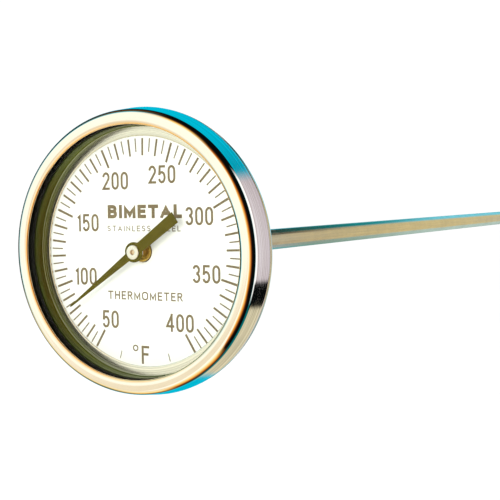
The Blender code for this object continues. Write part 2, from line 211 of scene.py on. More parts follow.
def sheet_outline(name, outline, hole, depth, sheet, bevel):
    """A flat stamping: a closed outline of (x, z) points with a round hole and softened edges."""
    curve = bpy.data.curves.new(name, "CURVE")
    curve.dimensions = "2D"
    curve.fill_mode = "BOTH"
    curve.extrude = sheet / 2
    steps = 64
    ring = []
    for i in range(steps):
        angle = 2 * math.pi * i / steps
        ring.append((hole * math.cos(angle), hole * math.sin(angle)))
    for points in (outline, ring):
        spline = curve.splines.new("POLY")
        spline.points.add(len(points) - 1)
        for point, (x, z) in zip(spline.points, points):
            point.co = (x, z, 0.0, 1.0)
        spline.use_cyclic_u = True
    flat = bpy.data.objects.new(name + "_outline", curve)
    bpy.context.scene.collection.objects.link(flat)
    bpy.context.view_layer.update()
    graph = bpy.context.evaluated_depsgraph_get()
    shape = bmesh.new()
    source = flat.evaluated_get(graph).to_mesh()
    shape.from_mesh(source)
    bpy.data.objects.remove(flat)
    bpy.data.curves.remove(curve)
    bmesh.ops.remove_doubles(shape, verts=shape.verts, dist=1e-6)
    turn = Matrix.Translation((0.0, DIAL_FACE + depth, 0.0)) @ Matrix.Rotation(math.pi / 2, 4, "X")
    shape.transform(turn)
    rims = [edge for edge in shape.edges if edge.is_manifold and edge.calc_face_angle() > 1.0]
    bmesh.ops.bevel(shape, geom=rims, offset=bevel, segments=2, affect="EDGES", profile=0.6)
    return finish_mesh(name, shape)


# ---------------------------------------------------------------- materials

def put(tree, kind, inputs=None, **settings):
    """Add a node; inputs are values or sockets to link from."""
    node = tree.nodes.new(kind)
    for key, value in settings.items():
        setattr(node, key, value)
    for key, value in (inputs or {}).items():
        if isinstance(value, bpy.types.NodeSocket):
            tree.links.new(value, node.inputs[key])
        else:
            node.inputs[key].default_value = value
    return node


def new_material(name):
    """An empty Principled material, its node tree and its shader."""
    material = bpy.data.materials.new(name)
    material.use_nodes = True
    tree = material.node_tree
    return material, tree, tree.nodes["Principled BSDF"]


def bare_material(name):
    """A material with no shader yet, and its node tree."""
    material, tree, shader = new_material(name)
    tree.nodes.remove(shader)
    return material, tree


def surface(tree, shader):
    """Make a shader node the material's surface."""
    tree.links.new(shader.outputs[0], tree.nodes["Material Output"].inputs["Surface"])


def math_node(tree, operation, *values, clamp=False):
    """The result of a Math node."""
    node = put(tree, "ShaderNodeMath", dict(enumerate(values)), operation=operation)
    node.use_clamp = clamp
    return node.outputs[0]


def ranged(tree, value, low, high, start=0.0, stop=1.0):
    """A value brought from low..high to start..stop, held at its ends."""
    node = put(tree, "ShaderNodeMapRange", {0: value, 1: low, 2: high, 3: start, 4: stop})
    return node.outputs[0]


def blended(tree, factor, first, second):
    """A mix of two colours or colour sockets."""
    node = put(tree, "ShaderNodeMix", {0: factor}, data_type="RGBA")
    for slot, value in ((6, first), (7, second)):
        if isinstance(value, bpy.types.NodeSocket):
            tree.links.new(value, node.inputs[slot])
        else:
            node.inputs[slot].default_value = (*value, 1.0)
    return node.outputs[2]


def cloud(tree, size, detail=3.0, rough=0.55):
    """Soft noise whose blotches are about size across."""
    place = put(tree, "ShaderNodeTexCoord").outputs["Object"]
    inputs = {"Vector": place, "Scale": 1 / size, "Detail": detail, "Roughness": rough}
    return put(tree, "ShaderNodeTexNoise", inputs).outputs[0]


def about_axis(tree):
    """Distance from the stem's axis, direction away from it, and place along it, as sockets."""
    spot = put(tree, "ShaderNodeTexCoord").outputs["Object"]
    axes = put(tree, "ShaderNodeSeparateXYZ", {0: spot})
    flat = put(tree, "ShaderNodeCombineXYZ", {0: axes.outputs[0], 2: axes.outputs[2]}).outputs[0]
    distance = put(tree, "ShaderNodeVectorMath", {0: flat}, operation="LENGTH").outputs["Value"]
    direction = put(tree, "ShaderNodeVectorMath", {0: flat}, operation="NORMALIZE").outputs[0]
    return distance, direction, axes.outputs[1]


def turning_marks(tree, pitch, spread):
    """Noise in fine rings about the stem's axis, pitch apart and spread radians long."""
    distance, direction, along = about_axis(tree)
    around = put(tree, "ShaderNodeVectorMath", {0: direction, "Scale": 1 / spread},
                 operation="SCALE").outputs[0]
    across = math_node(tree, "MULTIPLY", distance, 1 / pitch)
    lift = put(tree, "ShaderNodeCombineXYZ", {1: across}).outputs[0]
    where = put(tree, "ShaderNodeVectorMath", {0: around, 1: lift}).outputs[0]
    depth = math_node(tree, "MULTIPLY", along, 1 / pitch)
    inputs = {"Vector": where, "W": depth, "Scale": 1.0, "Detail": 2.0}
    return put(tree, "ShaderNodeTexNoise", inputs, noise_dimensions="4D").outputs[0]


def drawn_marks(tree, pitch, length):
    """Noise in fine lines along the stem, pitch apart and length long."""
    place = put(tree, "ShaderNodeTexCoord").outputs["Object"]
    scale = (1 / pitch, 1 / length, 1 / pitch)
    stretched = put(tree, "ShaderNodeMapping", {"Vector": place, "Scale": scale}).outputs[0]
    inputs = {"Vector": stretched, "Scale": 1.0, "Detail": 2.0}
    return put(tree, "ShaderNodeTexNoise", inputs).outputs[0]


def bump(tree, shader, height, distance, strength=1.0):
    """Bump from a height socket."""
    inputs = {"Height": height, "Distance": distance, "Strength": strength}
    node = put(tree, "ShaderNodeBump", inputs)
    tree.links.new(node.outputs[0], shader.inputs["Normal"])


def metal(name, colour, shade, roughness, marks, relief, blotch=6 * MM):
    """A metal with machining marks, faint smudges and a little colour variation.

    colour and shade are its clean and its dulled colour, roughness a (low, high) pair,
    marks a function that gives the marks' noise, relief their depth.
    """
    material, tree, shader = new_material(name)
    lines = marks(tree)
    smudge = cloud(tree, blotch, 4.0)
    tone = math_node(tree, "MULTIPLY_ADD", lines, 0.55, math_node(tree, "MULTIPLY", smudge, 0.45))
    tree.links.new(blended(tree, ranged(tree, tone, 0.35, 0.65), colour, shade),
                   shader.inputs["Base Color"])
    tree.links.new(ranged(tree, tone, 0.3, 0.7, *roughness), shader.inputs["Roughness"])
    shader.inputs["Metallic"].default_value = 1.0
    bump(tree, shader, lines, relief)
    return material


def paint(name, colour, shade, roughness, grain, relief, specular=0.5):
    """A painted, printed or moulded surface with a fine grain."""
    material, tree, shader = new_material(name)
    fine = cloud(tree, grain, 2.0)
    broad = cloud(tree, grain * 24, 3.0)
    tone = math_node(tree, "MULTIPLY_ADD", fine, 0.5, math_node(tree, "MULTIPLY", broad, 0.5))
    tree.links.new(blended(tree, ranged(tree, tone, 0.35, 0.65), colour, shade),
                   shader.inputs["Base Color"])
    tree.links.new(ranged(tree, fine, 0.3, 0.7, *roughness), shader.inputs["Roughness"])
    shader.inputs["Specular IOR Level"].default_value = specular
    bump(tree, shader, fine, relief)
    return material


def bezel_material():
    """Bright rolled steel: a polished face and lip, an orange painted reflection on the face
    towards the lip, and a side with brushed rings.
    """
    material, tree, shader = new_material("polished_bezel_steel")
    distance = about_axis(tree)[0]
    side = ranged(tree, distance, *BEZEL_SIDE)
    fine = turning_marks(tree, 0.14 * MM, 0.4)
    streaks = turning_marks(tree, 0.42 * MM, 1.1)
    smudge = cloud(tree, 5 * MM, 4.0)
    tone = math_node(tree, "MULTIPLY_ADD", fine, 0.5, math_node(tree, "MULTIPLY", smudge, 0.5))
    face = blended(tree, ranged(tree, tone, 0.38, 0.66), (0.98, 0.965, 0.93), (0.93, 0.9, 0.85))
    # Painted reflection: the face turns orange towards the lip
    lip = ranged(tree, distance, *BEZEL_LIP_PAINTED_REFLECTION)
    face = blended(tree, lip, face, (0.93, 0.68, 0.4))
    flank = blended(tree, ranged(tree, streaks, 0.36, 0.62),
                    (0.97, 0.96, 0.97), (0.78, 0.74, 0.72))
    tree.links.new(blended(tree, side, face, flank), shader.inputs["Base Color"])
    polish = ranged(tree, tone, 0.35, 0.7, 0.04, 0.1)
    brushed = ranged(tree, streaks, 0.3, 0.7, 0.06, 0.15)
    rough = put(tree, "ShaderNodeMix", {0: side, 2: polish, 3: brushed}).outputs[0]
    tree.links.new(rough, shader.inputs["Roughness"])
    shader.inputs["Metallic"].default_value = 1.0
    share = math_node(tree, "MULTIPLY_ADD", side, 0.85, 0.15)
    bump(tree, shader, math_node(tree, "MULTIPLY", streaks, share), 0.008 * MM)
    return material


def spacer_material():
    """Spun metal: a bright foot on the dial's margin and a wall painted dull olive as shade,
    painted nearly black towards the gasket as the lip's shade.
    """
    material, tree, shader = new_material("spun_spacer_metal")
    distance, _, along = about_axis(tree)
    wall = ranged(tree, distance, *SPACER_WALL)
    gasket_painted_shade = ranged(tree, along, *SPACER_PAINTED_SHADE)
    rings = turning_marks(tree, 0.2 * MM, 1.5)
    tone = ranged(tree, rings, 0.4, 0.62)
    foot_tone = blended(tree, tone, (0.92, 0.92, 0.88), (0.76, 0.76, 0.7))
    # Painted shade: the wall is dark olive where the foot of the same metal is bright
    wall_painted_shade = blended(tree, tone, (0.17, 0.21, 0.04), (0.07, 0.11, 0.015))
    # Painted shade under the bezel's lip: the wall goes nearly black towards the gasket
    wall_painted_shade = blended(tree, gasket_painted_shade, wall_painted_shade, (0.004, 0.012, 0.003))
    tree.links.new(blended(tree, wall, foot_tone, wall_painted_shade), shader.inputs["Base Color"])
    polish = ranged(tree, rings, 0.3, 0.7, 0.16, 0.28)
    dull = ranged(tree, rings, 0.3, 0.7, 0.3, 0.45)
    rough = put(tree, "ShaderNodeMix", {0: wall, 2: polish, 3: dull}).outputs[0]
    tree.links.new(rough, shader.inputs["Roughness"])
    shader.inputs["Metallic"].default_value = 1.0
    bump(tree, shader, rings, 0.004 * MM)
    return material


def window_material():
    """Clear glass with faint wiping smears in its gloss, which grows as it is seen from aside."""
    material, tree = bare_material("window_clear")
    smear = cloud(tree, 5 * MM, 5.0)
    gloss = put(tree, "ShaderNodeBsdfGlossy", {
        "Color": (1.0, 1.0, 1.0, 1.0),
        "Roughness": ranged(tree, smear, 0.4, 0.7, 0.02, 0.09),
    })
    clear = put(tree, "ShaderNodeBsdfTransparent", {"Color": (0.985, 0.995, 0.985, 1.0)})
    tilt = put(tree, "ShaderNodeLayerWeight", {"Blend": 0.5}).outputs["Facing"]
    share = math_node(tree, "MULTIPLY_ADD", math_node(tree, "POWER", tilt, 5.0), 0.6, 0.003)
    inputs = {0: share, 1: clear.outputs[0], 2: gloss.outputs[0]}
    surface(tree, put(tree, "ShaderNodeMixShader", inputs))
    return material


def make_materials():
    """Every material, by name."""
    ring_marks = partial(turning_marks, pitch=0.16 * MM, spread=0.5)
    coarse_marks = partial(turning_marks, pitch=0.25 * MM, spread=1.2)
    fine_marks = partial(turning_marks, pitch=0.07 * MM, spread=0.8)
    line_marks = partial(drawn_marks, pitch=0.22 * MM, length=24 * MM)
    return {
        "bezel": bezel_material(),
        "case": metal("pressed_case_steel", (0.78, 0.77, 0.75), (0.62, 0.61, 0.6),
                      (0.2, 0.36), ring_marks, 0.006 * MM),
        "turned": metal("turned_steel", (0.76, 0.75, 0.73), (0.58, 0.57, 0.56),
                        (0.18, 0.34), coarse_marks, 0.012 * MM),
        "stem": metal("drawn_stem_steel", (0.92, 0.89, 0.82), (0.74, 0.71, 0.64),
                      (0.1, 0.22), line_marks, 0.006 * MM),
        "spacer": spacer_material(),
        "spring": metal("spring_steel", (0.42, 0.42, 0.43), (0.3, 0.3, 0.31),
                        (0.25, 0.42), coarse_marks, 0.005 * MM),
        "spindle": metal("spindle_steel", (0.95, 0.78, 0.6), (0.8, 0.6, 0.42),
                         (0.3, 0.45), fine_marks, 0.004 * MM, 1 * MM),
        "nickel": metal("bright_nickel", (0.99, 0.985, 0.98), (0.92, 0.915, 0.9),
                        (0.2, 0.34), fine_marks, 0.003 * MM, 1 * MM),
        "brass": metal("turned_brass", (0.72, 0.5, 0.12), (0.4, 0.27, 0.05),
                       (0.2, 0.36), fine_marks, 0.006 * MM, 2 * MM),
        "bimetal": metal("bimetal_strip", (0.56, 0.46, 0.34), (0.4, 0.3, 0.2),
                         (0.3, 0.5), line_marks, 0.004 * MM),
        "enamel": paint("dial_enamel", (0.95, 0.945, 0.9), (0.925, 0.92, 0.87),
                        (0.45, 0.6), 0.12 * MM, 0.0015 * MM, 0.3),
        "ink": paint("printing_ink", (0.16, 0.12, 0.065), (0.23, 0.18, 0.1),
                     (0.5, 0.7), 0.1 * MM, 0.002 * MM, 0.15),
        "pointer": paint("pointer_paint", (0.07, 0.056, 0.003), (0.11, 0.09, 0.008),
                         (0.45, 0.65), 0.08 * MM, 0.004 * MM, 0.12),
        "rubber": paint("black_rubber", (0.003, 0.003, 0.003), (0.009, 0.01, 0.008),
                        (0.6, 0.85), 0.15 * MM, 0.01 * MM, 0.12),
        "window": window_material(),
    }


# ---------------------------------------------------------------- printing

def bow(x, y, wide, high, start, end, pieces=10):
    """Points along an elliptic arc in a glyph's unit square, its angles in degrees."""
    points = []
    for i in range(pieces + 1):
        angle = math.radians(start + (end - start) * i / pieces)
        points.append((x + wide * math.cos(angle), y + high * math.sin(angle)))
    return points


ROUND = bow(0.5, 0.72, 0.5, 0.28, 0, 180) + bow(0.5, 0.28, 0.5, 0.28, 180, 360) + [(1.0, 0.72)]

# Each glyph: its width over its height, and its strokes' centre lines in the unit square.
GLYPHS = {
    "0": (0.5, [ROUND]),
    "1": (0.27, [[(0.0, 0.8), (0.55, 0.88), (1.0, 1.0), (1.0, 0.0)]]),
    "2": (0.5, [bow(0.5, 0.73, 0.5, 0.27, 175, -28) + [(0.0, 0.0), (1.0, 0.0)]]),
    "3": (0.5, [bow(0.48, 0.76, 0.48, 0.24, 165, -90), bow(0.5, 0.26, 0.5, 0.26, 90, -165)]),
    "4": (0.54, [[(0.76, 0.0), (0.76, 1.0)], [(0.76, 1.0), (0.0, 0.27), (1.0, 0.27)]]),
    "5": (0.5, [[(0.92, 1.0), (0.14, 1.0), (0.06, 0.52)], bow(0.48, 0.32, 0.52, 0.32, 145, -160)]),
    "A": (0.8, [[(0.0, 0.0), (0.5, 1.0), (1.0, 0.0)], [(0.17, 0.3), (0.83, 0.3)]]),
    "B": (0.7, [[(0.0, 0.0), (0.0, 1.0)],
                [(0.0, 1.0)] + bow(0.58, 0.76, 0.36, 0.24, 90, -90) + [(0.0, 0.52)],
                [(0.0, 0.52)] + bow(0.6, 0.26, 0.4, 0.26, 90, -90) + [(0.0, 0.0)]]),
    "E": (0.62, [[(1.0, 1.0), (0.0, 1.0), (0.0, 0.0), (1.0, 0.0)], [(0.0, 0.52), (0.88, 0.52)]]),
    "F": (0.5, [[(1.0, 1.0), (0.0, 1.0), (0.0, 0.0)], [(0.0, 0.54), (0.85, 0.54)]]),
    "H": (0.72, [[(0.0, 0.0), (0.0, 1.0)], [(1.0, 0.0), (1.0, 1.0)], [(0.0, 0.52), (1.0, 0.52)]]),
    "I": (0.0, [[(0.5, 0.0), (0.5, 1.0)]]),
    "L": (0.58, [[(0.0, 1.0), (0.0, 0.0), (1.0, 0.0)]]),
    "M": (0.86, [[(0.0, 0.0), (0.0, 1.0), (0.5, 0.12), (1.0, 1.0), (1.0, 0.0)]]),
    "N": (0.74, [[(0.0, 0.0), (0.0, 1.0), (1.0, 0.0), (1.0, 1.0)]]),
    "O": (0.86, [ROUND]),
    "R": (0.7, [[(0.0, 0.0), (0.0, 1.0)],
                [(0.0, 1.0)] + bow(0.58, 0.76, 0.38, 0.24, 90, -90) + [(0.0, 0.52)],
                [(0.5, 0.52), (1.0, 0.0)]]),
    "S": (0.64, [bow(0.5, 0.75, 0.48, 0.25, 25, 270)[:-1] + bow(0.5, 0.25, 0.5, 0.25, 90, -155)]),
    "T": (0.74, [[(0.0, 1.0), (1.0, 1.0)], [(0.5, 1.0), (0.5, 0.0)]]),
}


def ribbon(path, half, closed):
    """The two edges of a stroke, mitred at its corners."""
    edges = []
    count = len(path)
    for i, point in enumerate(path):
        here = Vector(point)
        before = Vector(path[i - 1]) if i or closed else None
        after = Vector(path[(i + 1) % count]) if i + 1 < count or closed else None
        arriving = (here - before).normalized() if before else (after - here).normalized()
        leaving = (after - here).normalized() if after else arriving
        middle = (arriving + leaving).normalized()
        side = Vector((-middle.y, middle.x))
        reach = half / max(0.3, middle.dot(arriving))
        edges.append((here + side * reach, here - side * reach))
    return edges


def stroke_piece(name, path, half, level=None):
    """A stroke as a closed flat bar on the dial; level gives its lowest and highest z."""
    closed = (Vector(path[0]) - Vector(path[-1])).length < 1e-9
    if closed:
        path = path[:-1]
    shape = bmesh.new()
    sections = []
    for left, right in ribbon(path, half, closed):
        section = []
        for corner, depth in ((left, -INK_FILM), (right, -INK_FILM), (right, 0.0), (left, 0.0)):
            z = min(max(corner.y, level[0]), level[1]) if level else corner.y
            section.append(shape.verts.new((corner.x, DIAL_FACE + depth, z)))
        sections.append(section)
    pairs = list(zip(sections, sections[1:]))
    if closed:
        pairs.append((sections[-1], sections[0]))
    else:
        shape.faces.new(sections[0])
        shape.faces.new(sections[-1])
    for here, there in pairs:
        for i in range(4):
            j = (i + 1) % 4
            shape.faces.new((here[i], here[j], there[j], there[i]))
    return finish_mesh(name, shape)


def joined(name, pieces, union=False):
    """Join pieces into one object, by Boolean union where they overlap."""
    base = pieces[0]
    if union:
        for other in pieces[1:]:
            cut = base.modifiers.new("union", "BOOLEAN")
            cut.operation = "UNION"
            cut.solver = "EXACT"
            cut.object = other
        bpy.context.view_layer.update()
        graph = bpy.context.evaluated_depsgraph_get()
        mesh = bpy.data.meshes.new_from_object(base.evaluated_get(graph))
        base.modifiers.clear()
        base.data = mesh
    else:
        shape = bmesh.new()
        for piece in pieces:
            shape.from_mesh(piece.data)
        shape.to_mesh(base.data)
        shape.free()
    for other in pieces[1:]:
        bpy.data.objects.remove(other)
    base.name = name
    base.data.name = name
    return base


def squared(path, wide, high):
    """The path with its straight ends carried on by half the stroke's width."""
    if path[0] == path[-1]:
        return path
    longer = list(path)
    for end, beside in ((0, 1), (-1, -2)):
        (x, y), (u, v) = path[end], path[beside]
        if y == v:
            longer[end] = (x + math.copysign(wide / 2, x - u), y)
        elif x == u or abs(y - v) > 0.4:
            reach = high / 2 / abs(y - v)
            longer[end] = (x + (x - u) * reach, y + (y - v) * reach)
    return longer


def write(text, centre, cap, weight, width, stretch=1.0):
    """The glyphs of a line of text, cap high, spaced out to its width about its centre."""
    wides = [max(GLYPHS[letter][0] * stretch, weight) if letter != " " else SPACE_WIDTH
             for letter in text]
    level = ((centre[1] - cap / 2) * UNIT, (centre[1] + cap / 2) * UNIT)
    gap = (width / cap - sum(wides)) / (len(text) - 1)
    pen = centre[0] / cap - width / cap / 2
    pieces = []
    for letter, wide in zip(text, wides):
        if letter != " ":
            strokes = []
            for path in GLYPHS[letter][1]:
                placed = []
                for u, v in squared(path, weight / (wide - weight + 1e-6), weight / (1 - weight)):
                    x = pen + weight / 2 + u * (wide - weight)
                    y = centre[1] / cap - 0.5 + weight / 2 + v * (1 - weight)
                    placed.append((x * cap * UNIT, y * cap * UNIT))
                strokes.append(stroke_piece("stroke", placed, weight * cap * UNIT / 2, level))
            pieces.append(joined("glyph", strokes, union=len(strokes) > 1))
        pen += wide + gap
    return pieces


def radial_bar(angle, inner, outer, width):
    """A tick: a straight bar from inner to outer radius, in dial units."""
    direction = Vector((math.cos(math.radians(angle)), math.sin(math.radians(angle))))
    centre = Vector(SCALE_CENTRE)
    path = [tuple((centre + direction * reach) * UNIT) for reach in (inner, outer)]
    return stroke_piece("tick", path, width * UNIT / 2)


def make_printing(ink):
    """Ticks, numbers and words on the dial."""
    ticks = []
    for reading in range(FIRST_MARK, LAST_MARK + 1, MARKS[0][0]):
        inner, width = [size for step, *size in MARKS if reading % step == 0][-1]
        ticks.append(radial_bar(scale_angle(reading), inner, 1.0, width))
    aside, inner, outer, width = LOW_MARKS
    for side in (-1, 1):
        ticks.append(radial_bar(-90.0 + side * aside, inner, outer, width))

    numbers = []
    for text, centre in NUMBERS.items():
        width = sum(GLYPHS[letter][0] for letter in text) + DIGIT_GAP * (len(text) - 1)
        numbers += write(text, centre, DIGIT_CAP, DIGIT_WEIGHT, width * DIGIT_CAP)

    words = []
    for line in WORDS:
        words += write(*line)

    unit_letter = write(*UNIT_LETTER)
    ring = bow(*DEGREE_CENTRE, DEGREE_RADIUS, DEGREE_RADIUS, 0, 360, 32)
    ring = [(x * UNIT, y * UNIT) for x, y in ring]
    ring[-1] = ring[0]
    degree = stroke_piece("degree", ring, DEGREE_WEIGHT / 2 * UNIT)

    made = [
        joined("scale_ticks", ticks),
        joined("scale_numbers", numbers),
        joined("dial_words", words),
        joined("unit_mark", unit_letter + [degree]),
    ]
    for piece in made:
        piece.data.materials.append(ink)
        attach(piece, "head")


# ---------------------------------------------------------------- pieces

def place(piece, material, body, slot, *nodes):
    """Give a piece its material and its body, and hide the nodes that it stands for. The slot is
    not used.
    """
    piece.data.materials.clear()
    piece.data.materials.append(material)
    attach(piece, body)
    if nodes:
        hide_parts(*nodes)


def swept(start, turn, bends):
    """Points of joined arcs; turn is the normal's first angle, bends (last angle, radius) pairs.

    Angles are in degrees from straight outwards towards the front. Gives (point, angle) pairs.
    """
    result = [(start, turn)]
    for last, size in bends:
        here, first = result[-1]
        pieces = max(4, round(abs(last - first) / 3))
        for i in range(1, pieces + 1):
            angle = first + (last - first) * i / pieces
            a, b = math.radians(angle), math.radians(first)
            point = (here[0] + size * (math.cos(a) - math.cos(b)),
                     here[1] - size * (math.sin(a) - math.sin(b)))
            result.append((point, angle))
    return result


def bezel_outline():
    """The rolled bezel's section, from the hem over the side and corner to the curled lip."""
    sheet = 0.45 * MM
    hem_sheet = 0.6 * MM
    cone = 88.0
    edge_angle = 40.0
    edge_inset = 1.36 * MM
    lip_radius = 31.75 * MM
    curl_wide = 1.3 * MM
    curl_deep = 0.6 * MM
    hem_radius = 0.8 * MM
    hem_long = 2.4 * MM
    hem_inner = 34.45 * MM
    side_tilt = 5.8
    bends = [(16.0, 5.4 * MM), (edge_angle, 2.5 * MM), (58.0, 1.8 * MM), (cone, 1.1 * MM)]
    slope = math.radians(90.0 - cone)
    first_turn = -math.atan(curl_wide / curl_deep * math.tan(slope))
    curl_axis = (lip_radius + curl_wide, front("bezel_ring") + curl_deep)
    pieces = 20
    turns = [first_turn + (math.pi / 2 - first_turn) * i / pieces for i in range(pieces + 1)]

    def curled(wide, deep):
        """Points of an elliptic arc about the curl's axis, from the front face to the lip."""
        return [(curl_axis[0] - wide * math.sin(turn), curl_axis[1] - deep * math.cos(turn))
                for turn in turns]

    outer_curl = curled(curl_wide, curl_deep)
    inner_curl = curled(curl_wide - sheet, curl_deep - sheet)

    corner = swept((0.0, 0.0), side_tilt, bends)
    edge = next(point for point, angle in corner if abs(angle - edge_angle) < 1e-6)
    shift_r = radius("bezel_ring") - edge_inset - edge[0]
    end = corner[-1][0]
    shift_d = outer_curl[0][1] + (end[0] + shift_r - outer_curl[0][0]) * math.tan(slope) - end[1]
    corner = [((r + shift_r, d + shift_d), math.radians(angle)) for (r, d), angle in corner]

    hem_rear = rear("bezel_ring") + 0.4 * MM
    hem_axis = (radius("bezel_ring") - hem_radius, hem_rear - hem_long)
    hem = arc((0.0, 0.0), 1.0, 90, 0, 20)
    outline = [(hem_inner, hem_rear)]
    outline += [(hem_axis[0] + hem_radius * x, hem_axis[1] + hem_long * y) for x, y in hem]
    start = outline[-1]
    side = (corner[0][0][0] - start[0], corner[0][0][1] - start[1])
    outline += [(start[0] + side[0] * share, start[1] + side[1] * share) for share in (0.04, 0.96)]
    outline += [point for point, angle in corner]
    outline += outer_curl
    outline += reversed(inner_curl)
    outline += [(r - sheet * math.cos(angle), d + sheet * math.sin(angle))
                for (r, d), angle in reversed(corner)]
    inner_radius, inner_long = hem_radius - hem_sheet, hem_long - hem_sheet
    outline += [(hem_axis[0] + inner_radius * x, hem_axis[1] + inner_long * y)
                for x, y in reversed(hem[::4])]
    outline.append((hem_inner, hem_rear - hem_sheet))
    return outline


def cup_outline():
    """The pressed case: flat back, rounded corner, side, step and flange."""
    sheet = 0.7 * MM
    bore = 5.6 * MM
    side = 33.0 * MM
    step = 34.2 * MM
    bend = 5.0 * MM
    shoulder = 0.9 * MM
    flange = front("case_cup")
    back = rear("case_cup")
    corner = (side - bend, back - bend)
    outline = [(bore, back)]
    outline += arc(corner, bend, 90, 0, 16)
    outline += [
        (side, shoulder + sheet),
        (step, shoulder + sheet),
        (step, flange + sheet),
        (radius("case_cup"), flange + sheet),
        (radius("case_cup"), flange),
        (step - sheet, flange),
        (step - sheet, shoulder),
        (side - sheet, shoulder),
    ]
    outline += arc(corner, bend - sheet, 0, 90, 14)
    outline.append((bore, back - sheet))
    return outline


def make_case(materials):
    """Bezel, case, window, gasket, spacer and dial: all ride on the head."""
    bezel = turned("rolled_bezel", bezel_outline(), WIDE_STEPS)
    place(bezel, materials["bezel"], "head", "polished_steel", "bezel_ring")
    cup = turned("pressed_case", cup_outline(), WIDE_STEPS)
    place(cup, materials["case"], "head", "case_steel", "case_cup")

    wide = radius("window_glass")
    ground = 0.2 * MM
    glass = [
        (0.0, rear("window_glass")),
        (wide - ground, rear("window_glass")),
        (wide, rear("window_glass") - ground),
        (wide, front("window_glass") + ground),
        (wide - ground, front("window_glass")),
        (0.0, front("window_glass")),
    ]
    window = turned("window_pane", glass, WIDE_STEPS, closed=False)
    place(window, materials["window"], "head", "glass", "window_glass")

    outer = radius("window_gasket")
    inner = 31.75 * MM
    ends = (front("window_gasket"), rear("window_gasket"))
    ring = [(inner, ends[1]), (outer, ends[1]), (outer, ends[0]), (inner, ends[0])]
    gasket = turned("rubber_gasket", rounded(ring, [0.25 * MM] * 4), WIDE_STEPS)
    place(gasket, materials["rubber"], "head", "rubber", "window_gasket")

    bore = 31.7 * MM
    wall = 0.7 * MM
    nose = 29.1 * MM
    foot = 0.6 * MM
    seat = front("spacer_ring")
    base = rear("spacer_ring")
    spacer_points = [
        (nose, base), (bore + wall, base), (bore + wall, seat + wall), (outer, seat + wall),
        (outer, seat), (bore, seat), (bore, base - foot), (nose, base - foot),
    ]
    curves = [0.22 * MM, 0.1 * MM, 0.1 * MM, 0.1 * MM, 0.1 * MM, 0.3 * MM, 0.3 * MM, 0.3 * MM]
    spacer = turned("spun_spacer", rounded(spacer_points, curves), WIDE_STEPS)
    place(spacer, materials["spacer"], "head", "spacer_steel", "spacer_ring")

    hole = 2.75 * MM
    rim = radius("dial_plate")
    plate = [(hole, rear("dial_plate")), (rim, rear("dial_plate")), (rim, 0.0), (hole, 0.0)]
    dial = turned("printed_dial", rounded(plate, [0.05 * MM] * 4, 3), WIDE_STEPS)
    place(dial, materials["enamel"], "head", "dial_enamel", "dial_plate")


def make_pointer(materials):
    """Pointer, its hub and the spindle's peened front end."""
    depth = -4.0 * MM
    sheet = 0.3 * MM
    disc = 2.55 * MM
    hole = 1.25 * MM
    needle, needle_root, needle_tip = 24.9 * MM, 2.0 * MM, 0.35 * MM
    tail, tail_root, tail_end = 15.1 * MM, 2.5 * MM, 3.05 * MM
    root = math.degrees(math.asin(needle_root / 2 / disc))
    tail_start = 180.0 - math.degrees(math.asin(tail_root / 2 / disc))
    half = [(needle, 0.0), (needle - needle_tip, needle_tip / 2)]
    half += arc((0.0, 0.0), disc, root, tail_start, 24)
    half.append((-tail, tail_end / 2))
    outline = half + [(x, -z) for x, z in reversed(half[1:])]
    turn = math.radians(POINTER_ANGLE)
    swung = []
    for x, z in outline:
        swung.append((x * math.cos(turn) - z * math.sin(turn),
                      x * math.sin(turn) + z * math.cos(turn)))
    blade = sheet_outline("stamped_pointer", swung, hole, depth, sheet, 0.05 * MM)
    place(blade, materials["pointer"], "pointer", "pointer_paint", "pointer_blade")

    bore = radius("spindle") + 0.02 * MM
    head = radius("pointer_hub")
    front_end = front("pointer_hub")
    rear_end = rear("pointer_hub")
    gap = 0.15 * MM
    sleeve = hole - gap
    hub_points = [
        (bore, rear_end), (head, rear_end), (head, depth + sheet / 2 + gap),
        (sleeve, depth + sheet / 2 + gap), (sleeve, depth - sheet / 2 - gap),
        (head, depth - sheet / 2 - gap), (head, front_end), (bore, front_end),
    ]
    curves = [0, 0.15 * MM, 0.1 * MM, 0, 0, 0.05 * MM, 0.15 * MM, 0.08 * MM]
    hub = turned("pressed_hub", rounded(hub_points, curves), NARROW_STEPS)
    place(hub, materials["nickel"], "pointer", "nickel", "pointer_hub")

    pin = radius("spindle")
    tip = front("spindle")
    dome = [(0.0, rear("spindle")), (pin, rear("spindle")), (pin, tip + 0.25 * MM)]
    dome += arc((pin - 0.25 * MM, tip + 0.25 * MM), 0.25 * MM, 0, -80, 6)
    dome.append((0.0, tip))
    spindle = turned("peened_spindle", dome, PIN_STEPS, closed=False)
    place(spindle, materials["spindle"], "pointer", "spindle_steel", "spindle")


